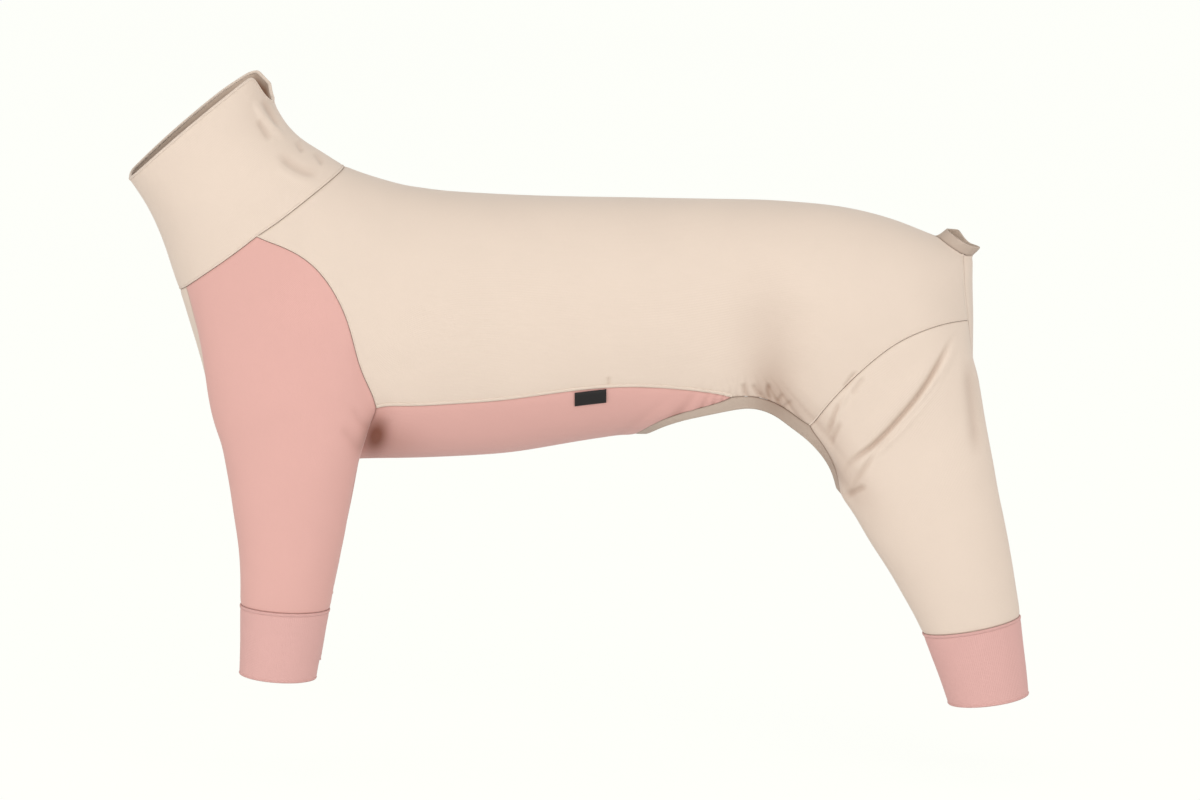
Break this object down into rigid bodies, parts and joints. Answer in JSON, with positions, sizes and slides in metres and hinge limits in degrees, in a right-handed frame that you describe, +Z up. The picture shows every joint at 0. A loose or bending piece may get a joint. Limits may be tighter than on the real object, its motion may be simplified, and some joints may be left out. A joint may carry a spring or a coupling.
{
  "type": "dog coat",
  "caption": "Stretch suit for a dog with a high collar, sleeves with cuffs for all legs, a tail hole and an open groin.",
  "frame": {"origin": "where the coat sits on the middle of the dog's back, on the inner face of the back panel", "axes": "-X towards the collar, +X towards the tail, -Y to the dog's left, +Z up"},
  "size_m": [0.7172, 0.1682, 0.4945],
  "materials": {
    "beige_knit": "smooth stretch knit with a soft sheen",
    "pink_knit": "smooth stretch knit with a soft sheen",
    "pink_rib": "doubled stretch knit, matt",
    "beige_binding": "folded knit binding, matt",
    "black_label": "black woven label, matt"
  },
  "bodies": {
    "root": {"back_panel": "beige_knit", "belly_panel": "pink_knit", "chest_panel": "beige_knit", "collar": "beige_knit", "front_cuff_left": "pink_rib", "front_cuff_right": "pink_rib", "front_leg_left": "pink_knit", "front_leg_right": "pink_knit", "groin_binding": "beige_binding", "hind_cuff_left": "pink_rib", "hind_cuff_right": "pink_rib", "hind_leg_left": "beige_knit", "hind_leg_right": "beige_knit", "rump_gusset": "beige_knit", "side_label": "black_label", "tail_rim": "beige_binding"}
  },
  "joints": []
}
